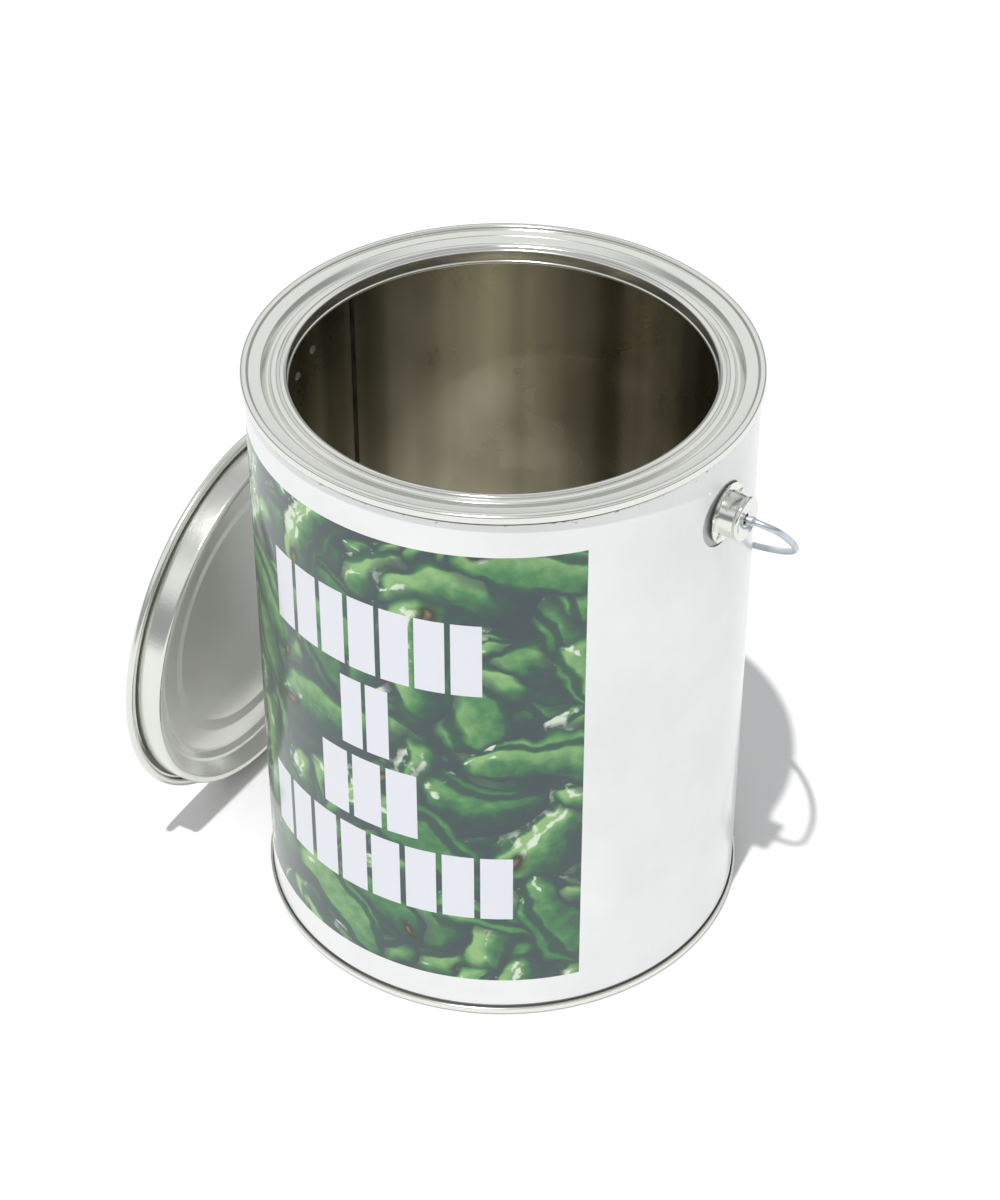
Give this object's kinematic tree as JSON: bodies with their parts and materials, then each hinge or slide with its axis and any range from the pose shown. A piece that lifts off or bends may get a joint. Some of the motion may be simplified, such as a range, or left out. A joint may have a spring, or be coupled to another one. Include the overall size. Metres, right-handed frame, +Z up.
{
  "type": "paint can",
  "caption": "Open round friction-top paint can with a printed label, a wire bail on two pressed ears, and its lid stood on edge beside it.",
  "frame": {"origin": "centre of the bottom panel's outside face, on the can's axis; the can stands on its bottom seam, 3 mm lower", "axes": "+Z up along the can's axis, -Y towards the front of the label, X along the bail's pivot axis with the lid on the -X side"},
  "size_m": [0.2112, 0.1681, 0.21],
  "materials": {
    "body_tinplate": "plain tinplate, dull inside",
    "end_tinplate": "bright tinplate",
    "seam_compound": "matt",
    "label_paper": "gloss varnish over print",
    "ear_steel": "bright pressed tinplate",
    "bail_wire": "zinc plated, satin"
  },
  "bodies": {
    "can": {"can_body": "body_tinplate", "bottom_end": "end_tinplate", "top_ring": "end_tinplate", "top_seam_compound": "seam_compound", "bottom_seam_compound": "seam_compound", "label": "label_paper", "ear_left": "ear_steel", "ear_right": "ear_steel"},
    "bail": {"bail": "bail_wire"},
    "lid": {"lid": "end_tinplate"}
  },
  "joints": [
    {"name": "bail_swing", "type": "hinge", "parent": "can", "child": "bail", "pos_m": [0, 0, 0.1798], "axis": [1, 0, 0], "range_deg": [0, 268]},
    {"name": "lid_lift", "type": "slide", "parent": "can", "child": "lid", "axis": [-0.7071, 0, 0.7071], "range_m": [0, 0.25]}
  ]
}
